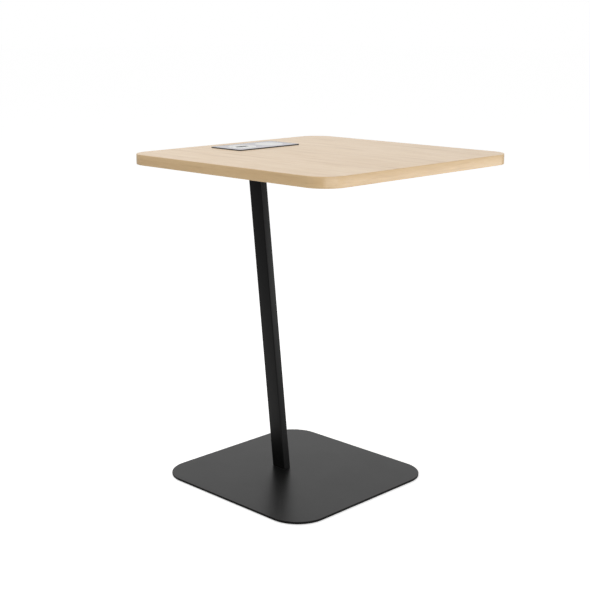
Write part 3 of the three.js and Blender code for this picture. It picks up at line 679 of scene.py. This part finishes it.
def wood_grain_group():
    """Straight-grained pale wood: broad soft bands, fine streaks along the grain, flecks and open pores."""
    tree, given = new_group(
        "wood_grain", "ShaderNodeTree",
        {"Stretch": "Vector", "Figure Scale": "Float", "Band Scale": "Float", "Streak Scale": "Float",
         "Fleck Scale": "Float", "Pore Scale": "Float"},
        {"Band": "Float", "Streak": "Float", "Fleck": "Float", "Pore": "Float"})
    place = tree.nodes.new("ShaderNodeTexCoord").outputs["Object"]
    sway = add(tree, "ShaderNodeTexNoise", {"Vector": place, "Scale": 2.2, "Detail": 2.0})
    push = stretched(tree, sway.outputs["Color"], (0.05, 0.05, 0.0))
    bent = add(tree, "ShaderNodeVectorMath", {0: place, 1: push}, operation="ADD").outputs[0]
    drawn = stretched(tree, bent, given["Stretch"])
    figure = noise(tree, drawn, given["Figure Scale"], detail=1.0)
    fine_band = noise(tree, drawn, given["Band Scale"], detail=3.0)
    band = add(tree, "ShaderNodeMix", {"Factor": 0.55, 2: figure, 3: fine_band})
    streak = noise(tree, drawn, given["Streak Scale"], detail=6.0, roughness=0.7)
    fleck = noise(tree, drawn, given["Fleck Scale"], detail=2.0)
    pore = noise(tree, drawn, given["Pore Scale"], detail=2.0, roughness=0.6)
    add(tree, "NodeGroupOutput",
        {"Band": band.outputs[0], "Streak": streak, "Fleck": spread(tree, fleck, low=0.56, high=0.72),
         "Pore": spread(tree, pore, low=0.60, high=0.72)})
    return tree


wood_grain = wood_grain_group()


def wood(name, settings, pale, dark, pores, rough, plain=None):
    """A wood-look finish: bands and streaks between two tones, with darker flecks and pores."""
    made, tree, shader = new_material(name, plain or {})
    grain = add(tree, "ShaderNodeGroup", settings, node_tree=wood_grain).outputs
    both = add(tree, "ShaderNodeMix", {"Factor": 0.5, 2: grain["Band"], 3: grain["Streak"]})
    body = blend(tree, spread(tree, both.outputs[0], *WOOD_TONES), pale, dark)
    marks = maths(tree, "MAXIMUM", grain["Pore"], grain["Fleck"])
    covered(tree, shader, colour=blend(tree, maths(tree, "MULTIPLY", marks, MARK_SHARE), body, pores),
            rough=spread(tree, grain["Streak"], *STREAK_TONES, *rough),
            height=maths(tree, "SUBTRACT", grain["Streak"], grain["Pore"]), strength=0.35,
            relief=GRAIN_RELIEF)
    return made


backing = wood("backing_sheet", GRAIN_FRONT_TO_BACK, pale=paint(222, 205, 182), dark=paint(208, 189, 163),
               pores=paint(182, 160, 130), rough=(0.6, 0.7))
hole, hole_size = middle_of("module_body"), size_of("module_body")
under_cuts = [rounded_box(hole.x, hole.y, hole_size.x - 2 * SEAT, hole_size.y - 2 * SEAT, CUT_CORNER)]
under_cuts += [circle(middle_of(n).x, middle_of(n).y, FLANGE_HOLE, count=32) for n in head_names]
underside = sheet("backing_sheet", "underside_laminate", CORE_CORNER, under_cuts, backing, 0, CORNER_STEPS)
part_of(underside, "board_core", "underside_laminate")

# Worktop sheet: pale straight-grained wood with a satin lacquer, its grain running front to back.
# It is cut round the module's flange, which sits on the core inside the cut.
FLANGE_GAP = 0.3 * MM
FLANGE_CORNER = 6 * MM
worktop_wood = wood("worktop_wood", GRAIN_FRONT_TO_BACK, pale=paint(227, 203, 171), dark=paint(211, 183, 148),
                    pores=paint(186, 154, 117), rough=(0.32, 0.40))
top_cut = rounded_box(hole.x, hole.y, hole_size.x + 2 * FLANGE_GAP, hole_size.y + 2 * FLANGE_GAP,
                      FLANGE_CORNER + FLANGE_GAP)
worktop = sheet("worktop_sheet", "top_laminate", CORE_CORNER, [top_cut], worktop_wood, 0, CORNER_STEPS)
part_of(worktop, "wood_sheet", "top_laminate")

# Edge band: a 2 mm strip of matching wood-look material, glued round the whole edge in one length and
# rounded over top and bottom.
BAND = 2 * MM
BAND_ROUND = 1.1 * MM
BAND_CORNER = CORE_CORNER + BAND
BAND_SHARP = 40
GRAIN_ROUND_EDGE = {"Stretch": (0.06, 0.06, 1.0), "Figure Scale": 20.0, "Band Scale": 60.0,
                    "Streak Scale": 260.0, "Fleck Scale": 150.0, "Pore Scale": 700.0}


def quarter_turn(steps):
    """Angles from none to a right angle."""
    return [k / steps * math.pi / 2 for k in range(steps + 1)]


band_wood = wood("band_wood", GRAIN_ROUND_EDGE, pale=paint(210, 180, 135), dark=paint(201, 169, 124),
                 pores=paint(182, 149, 106), rough=(0.27, 0.35), plain={"Specular IOR Level": 0.7})
band_low, band_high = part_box("edge_band")
band_middle, band_size = middle_of("edge_band"), size_of("edge_band")
profile = [(BAND, band_low.z), (BAND, band_high.z)]
profile += [(BAND_ROUND * (1 - math.sin(a)), band_high.z - BAND_ROUND * (1 - math.cos(a)))
            for a in quarter_turn(steps=5)]
profile += [(BAND_ROUND * (1 - math.cos(a)), band_low.z + BAND_ROUND * (1 - math.sin(a)))
            for a in quarter_turn(steps=5)]
rings = []
for inset, z in profile:
    line = rounded_box(band_middle.x, band_middle.y, band_size.x - 2 * inset, band_size.y - 2 * inset,
                       BAND_CORNER - inset, CORNER_STEPS)
    rings.append([(x, y, z) for x, y in line])
bm = bmesh.new()
skin_rings(bm, rings, closed=True)
band = new_object("edge_strip", bm)
band.data.materials.append(band_wood)
part_of(eased(band, 0, angle=BAND_SHARP), "edge_band", "edge_band")

# Power module body: one black moulding with a flange that sits in the worktop, a rim round the face plate,
# and a skirt down into the cut-out. A lid with board stands closes it below.
MOULDED_EASE = 0.3 * MM
SAME_PLANE = 0.5


def moulded_group():
    """Spark-eroded mould texture: fine even grain, with slow changes of sheen."""
    tree, given = new_group("moulded", "ShaderNodeTree", {"Grain Scale": "Float"},
                            {"Tone": "Float", "Relief": "Float"})
    place = tree.nodes.new("ShaderNodeTexCoord").outputs["Object"]
    add(tree, "NodeGroupOutput", {"Tone": noise(tree, place, scale=30.0, detail=4.0),
                                  "Relief": noise(tree, place, given["Grain Scale"], detail=3.0)})
    return tree


moulded = moulded_group()
black_moulding = two_tone("black_moulding", moulded, {"Grain Scale": 2200.0}, dark=paint(22, 22, 23),
                          pale=paint(33, 33, 34), rough=(0.45, 0.6), relief=0.04 * MM,
                          plain={"Specular IOR Level": 0.4})


def from_solid(name, node, material, ease):
    """A solid's own shape with its triangles joined up and its edges eased."""
    bm = bmesh.new()
    bm.from_mesh(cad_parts[node].data)
    bmesh.ops.remove_doubles(bm, verts=bm.verts, dist=SAME_SPOT)
    bmesh.ops.dissolve_limit(bm, angle_limit=math.radians(SAME_PLANE), verts=bm.verts, edges=bm.edges)
    made = new_object(name, bm)
    made.data.materials.clear()
    made.data.materials.append(material)
    return eased(made, ease, segments=2)


module_frame = from_solid("module_frame", "module_body", black_moulding, MOULDED_EASE)
part_of(module_frame, "black_plastic", "module_body")
repaint(black_moulding, "black_plastic", "module_lid")
screws("lid_screws", [f"module_screw_{i}" for i in (1, 2, 3, 4)], ease=0.1 * MM, sizes={
    "Face Diameter": 5 * MM, "Seat Diameter": 5 * MM, "Head Height": 1.2 * MM, "Shank Diameter": 2.6 * MM,
    "Key Width": 2 * MM, "Key Depth": 0.9 * MM})
repaint(zinc, "zinc_steel", "module_clip_1", "module_clip_2")

# Circuit boards: two green glass-fibre boards that rest on the lid's stands, one behind each disc.
# A flat dark ribbon links them.
circuit = two_tone("solder_mask", brushed, {"Along": (1.0, 0.12, 1.0), "Line Scale": 600.0},
                   dark=paint(22, 74, 46), pale=paint(40, 108, 70), rough=(0.3, 0.45), relief=0.05 * MM,
                   tone="Line", height="Line")
dark_moulding = two_tone("dark_moulding", moulded, {"Grain Scale": 2000.0}, dark=paint(30, 30, 32),
                         pale=paint(46, 46, 48), rough=(0.4, 0.55), relief=0.03 * MM)
repaint(circuit, "circuit_board", "usb_board", "pad_board")
repaint(dark_moulding, "dark_plastic", "link_ribbon")

# Charging coil: enamelled copper wire wound flat in one spiral, glued to the back of the right disc, with
# a grey ferrite plate behind it.
WIRE = 0.58 * MM
COIL_INNER = 10.6 * MM
COIL_TURNS = 9.0
COIL_SHARP = 60


def flat_coil_tree():
    """A wire wound in one flat spiral round each spot."""
    tree, given = new_group(
        "flat_coil", "GeometryNodeTree",
        {"Spots": "Geometry", "Inner Radius": "Float", "Outer Radius": "Float", "Turns": "Float",
         "Wire Radius": "Float", "Finish": "Material"},
        {"Coil": "Geometry"})
    spiral = add(tree, "GeometryNodeCurveSpiral",
                 {"Resolution": 56, "Rotations": given["Turns"], "Start Radius": given["Inner Radius"],
                  "End Radius": given["Outer Radius"], "Height": 0.0})
    wire = add(tree, "GeometryNodeCurvePrimitiveCircle", {"Resolution": 8, "Radius": given["Wire Radius"]})
    wound = add(tree, "GeometryNodeCurveToMesh",
                {"Curve": spiral.outputs[0], "Profile Curve": wire.outputs[0], "Fill Caps": True})
    copies = add(tree, "GeometryNodeInstanceOnPoints",
                 {"Points": given["Spots"], "Instance": wound.outputs[0]})
    return dressed(tree, copies.outputs[0], given["Finish"])


copper = two_tone("enamelled_copper", brushed, {"Along": (1.0, 1.0, 1.0), "Line Scale": 900.0},
                  dark=paint(150, 84, 48), pale=paint(190, 116, 72), rough=(0.25, 0.35), relief=0.01 * MM,
                  tone="Smear", height="Line", plain={"Metallic": 1.0})
bm = bmesh.new()
bm.verts.new(middle_of("pad_coil"))
coil = through_tree(new_object("copper_coil", bm), flat_coil_tree(), {
    "Inner Radius": COIL_INNER, "Outer Radius": size_of("pad_coil").x / 2 - WIRE, "Turns": COIL_TURNS,
    "Wire Radius": WIRE, "Finish": copper})
part_of(eased(coil, 0, angle=COIL_SHARP), "copper", "pad_coil")
ferrite = two_tone("ferrite", chips, {"Chip Scale": 1500.0}, dark=paint(44, 42, 41), pale=paint(66, 63, 61),
                   rough=(0.7, 0.85), relief=0.08 * MM)
repaint(ferrite, "ferrite", "pad_ferrite")

# Face plate: a thin satin aluminium plate, brushed lengthways and cut with two round windows.
# It lies in the rim of the body, a little above the worktop.
FACE_CORNER = 4 * MM
FACE_EASE = 0.2 * MM
WINDOW = 32 * MM
DISC_SIDES = 96
satin_aluminium = two_tone("satin_aluminium", brushed, {"Along": (0.03, 1.0, 1.0), "Line Scale": 900.0},
                           dark=paint(182, 180, 185), pale=paint(198, 196, 200), rough=(0.38, 0.5),
                           relief=0.01 * MM, tone="Line", height="Line", plain={"Metallic": 0.35})
usb_spot, pad_spot = middle_of("usb_insert"), middle_of("pad_cover")
windows = [circle(spot.x, spot.y, WINDOW, DISC_SIDES) for spot in (usb_spot, pad_spot)]
face_plate = sheet("face_plate_aluminium", "face_plate", FACE_CORNER, windows, satin_aluminium, FACE_EASE)
part_of(face_plate, "silver_face", "face_plate")

# Discs: two pale mouldings that snap in behind the face plate and show through its windows. The right one
# is the charging pad, with a fine ring groove. The left one carries the two USB ports in a small dark bay.
DISC_ROUND = 0.5 * MM
DISC_SHARP = 25
GROOVE = 26.5 * MM
GROOVE_HALF = 0.4 * MM
GROOVE_DEEP = 0.25 * MM
BAY_WIDE, BAY_DEEP, BAY_SUNK, BAY_CORNER = 32 * MM, 12 * MM, 2 * MM, 2 * MM
PORT_GAP = 0.3 * MM
PORT_SUNK = 9 * MM
PORT_A_CORNER = 0.4 * MM
PORT_C_CORNER = 1.92 * MM


def disc_profile(node):
    """A disc's profile up to its rounded rim, and the height of its top."""
    low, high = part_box(node)
    wide = size_of(node).x / 2
    plug = WINDOW - FLANGE_GAP
    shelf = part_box("face_plate")[0].z
    points = [(0, low.z), (wide, low.z), (wide, shelf), (plug, shelf)]
    points += [(plug - DISC_ROUND * (1 - math.cos(a)), high.z - DISC_ROUND * (1 - math.sin(a)))
               for a in quarter_turn(steps=4)]
    return points, high.z


pale_moulding = two_tone("pale_moulding", moulded, {"Grain Scale": 2400.0}, dark=paint(217, 217, 215),
                         pale=paint(226, 226, 223), rough=(0.38, 0.5), relief=0.03 * MM)
points, top = disc_profile("pad_cover")
points += [(GROOVE + GROOVE_HALF, top), (GROOVE, top - GROOVE_DEEP), (GROOVE - GROOVE_HALF, top), (0, top)]
charging_disc = turned("charging_disc", pad_spot, points, DISC_SIDES)
charging_disc.data.materials.append(pale_moulding)
part_of(eased(charging_disc, 0, angle=DISC_SHARP), "pale_plastic", "pad_cover")


def block(name, outline, low, high):
    """An upright block on a flat outline."""
    bm = bmesh.new()
    made = skin_rings(bm, [[(x, y, z) for x, y in outline] for z in (low, high)])
    bm.faces.new(list(reversed(made[0])))
    bm.faces.new(made[1])
    bmesh.ops.recalc_face_normals(bm, faces=bm.faces)
    return new_object(name, bm)


bay_moulding = two_tone("bay_moulding", moulded, {"Grain Scale": 2000.0}, dark=paint(16, 16, 17),
                        pale=paint(25, 25, 26), rough=(0.7, 0.85), relief=0.03 * MM,
                        plain={"Specular IOR Level": 0.15})
points, top = disc_profile("usb_insert")
points += [(GROOVE, top), (0, top)]
usb_disc = turned("usb_disc", usb_spot, points, DISC_SIDES)
usb_disc.data.materials.append(pale_moulding)
usb_disc.data.materials.append(bay_moulding)
eased(usb_disc, 0, angle=DISC_SHARP)
cuts = [(rounded_box(usb_spot.x, usb_spot.y, BAY_WIDE, BAY_DEEP, BAY_CORNER), BAY_SUNK)]
for shell, corner in (("usb_a_shell", PORT_A_CORNER), ("usb_c_shell", PORT_C_CORNER)):
    spot, size = middle_of(shell), size_of(shell)
    port = rounded_box(spot.x, spot.y, size.x + 2 * PORT_GAP, size.y + 2 * PORT_GAP, corner)
    cuts.append((port, PORT_SUNK))
for outline, sunk in cuts:
    cutter = block("cutter", outline, top - sunk, top + PAST)
    cutter.data.materials.append(bay_moulding)
    hollowed(usb_disc, cutter)
usb_disc.data.set_sharp_from_angle(angle=math.radians(DISC_SHARP))
part_of(usb_disc, "pale_plastic", "usb_insert")
repaint(zinc, "zinc_steel", "usb_a_shell", "usb_c_shell")
repaint(dark_moulding, "dark_plastic", "usb_a_tongue", "usb_c_tongue")

# Supply lead: a thin rubber lead that runs from a plug on the USB board through the grommet and down inside
# the post to the inlet, a black barrel socket with a brass pin, clamped in the rear wall by a nut inside.
repaint(pale_moulding, "pale_plastic", "lead_plug")
repaint(rubber, "rubber", "supply_lead")
inlet = from_solid("inlet_moulding", "inlet_socket", black_moulding, MOULDED_EASE)
part_of(inlet, "black_plastic", "inlet_socket")
repaint(brass, "brass", "inlet_pin")
repaint(zinc, "zinc_steel", "inlet_nut")

# Room: a plain white floor and white surroundings with soft light, brighter on the front of the table than
# on its left side. The floor keeps the table's own soft shadow; in gloss it shows a painted pool of light
# round the table that fades away from it.
WHITE = (1.0, 1.0, 1.0, 1.0)
FLOOR_GREY = (0.82, 0.82, 0.82, 1.0)
FLOOR_GLOW = 0.62
FLOOR_REACH = 40.0
FLOOR_LEVEL = -0.3 * MM
POOL_FULL = 0.6
POOL_END = 3.0
ROOM_LIGHT = 0.46
LAMP_AIM = Vector((0, 0, 0.4))
bm = bmesh.new()
bm.faces.new([bm.verts.new((x * FLOOR_REACH, y * FLOOR_REACH, FLOOR_LEVEL))
              for x, y in ((-1, -1), (1, -1), (1, 1), (-1, 1))])
floor = new_object("floor", bm)


def bare_tree(owner):
    """The owner's node tree, emptied."""
    owner.use_nodes = True
    owner.node_tree.nodes.clear()
    return owner.node_tree


def seen_directly(tree, in_gloss=1.0):
    """One for rays that show the room as it is: from the camera, through glass, and in gloss by a share."""
    path = tree.nodes.new("ShaderNodeLightPath").outputs
    gloss = maths(tree, "MULTIPLY", path["Is Glossy Ray"], in_gloss)
    first = maths(tree, "MAXIMUM", path["Is Camera Ray"], gloss)
    return maths(tree, "MAXIMUM", first, path["Is Transmission Ray"])


white_floor = bpy.data.materials.new("white_floor")
tree = bare_tree(white_floor)
place = tree.nodes.new("ShaderNodeTexCoord").outputs["Object"]
away = add(tree, "ShaderNodeVectorMath", {0: place}, operation="LENGTH")
# Painted pool of light: seen in gloss, the floor glows fully near the table and fades out further away.
near = spread(tree, away.outputs["Value"], POOL_FULL, POOL_END, 1.0, 0.0)
lift = maths(tree, "MULTIPLY", seen_directly(tree, near), FLOOR_GLOW)
lit = add(tree, "ShaderNodeBsdfDiffuse", {"Color": FLOOR_GREY})
glow = add(tree, "ShaderNodeEmission", {"Color": WHITE, "Strength": lift})
surface = add(tree, "ShaderNodeAddShader", {0: lit.outputs[0], 1: glow.outputs[0]})
add(tree, "ShaderNodeOutputMaterial", {"Surface": surface.outputs[0]})
floor.data.materials.append(white_floor)

scene = bpy.context.scene
scene.view_settings.view_transform = "Standard"
scene.world = bpy.data.worlds.new("white_room")
tree = bare_tree(scene.world)
soft = add(tree, "ShaderNodeBackground", {"Color": WHITE, "Strength": ROOM_LIGHT})
white = add(tree, "ShaderNodeBackground", {"Color": WHITE, "Strength": 1.0})
choice = add(tree, "ShaderNodeMixShader", {0: seen_directly(tree), 1: soft.outputs[0], 2: white.outputs[0]})
add(tree, "ShaderNodeOutputWorld", {"Surface": choice.outputs[0]})


def lamp(name, spot, power, wide, tall):
    """A soft rectangular lamp aimed at the table, out of the camera's sight."""
    light = bpy.data.lights.new(name, "AREA")
    light.shape = "RECTANGLE"
    light.energy = power
    light.size = wide
    light.size_y = tall
    made = bpy.data.objects.new(name, light)
    made.location = spot
    made.rotation_euler = (LAMP_AIM - Vector(spot)).to_track_quat("-Z", "Y").to_euler()
    made.visible_camera = False
    scene.collection.objects.link(made)


lamp("key", (1.1, -1.8, 0.3), power=15.5, wide=3.2, tall=0.56)
lamp("front", (-1.4, -3.3, 0.36), power=31.0, wide=3.4, tall=0.64)
lamp("overhead", (-0.8, 0.4, 3.4), power=50.0, wide=3.0, tall=3.0)
lamp("fill", (-3.4, 0.6, 1.8), power=7.0, wide=2.4, tall=2.4)

# Camera: in front of the table's left front corner, about 1 m above the floor, looking a little down.
# Its place, heading and lens are fitted to the outline of the table in the photograph.
CAMERA_SPOT = (-1.79625, -1.70915, 1.01101)
HEADING = 0.78965
PITCH = 0.20456
FOCAL_PIXELS = 1172.81
FRAME_PIXELS = 590
SENSOR_WIDTH = 36.0
FRAME_SHIFT = -0.05
camera = bpy.data.objects.new("camera", bpy.data.cameras.new("camera"))
camera.data.sensor_width = SENSOR_WIDTH
camera.data.lens = FOCAL_PIXELS / FRAME_PIXELS * SENSOR_WIDTH
camera.data.shift_y = FRAME_SHIFT
camera.location = CAMERA_SPOT
look = Vector((math.sin(HEADING) * math.cos(PITCH), math.cos(HEADING) * math.cos(PITCH), -math.sin(PITCH)))
camera.rotation_euler = look.to_track_quat("-Z", "Y").to_euler()
scene.collection.objects.link(camera)
scene.camera = camera
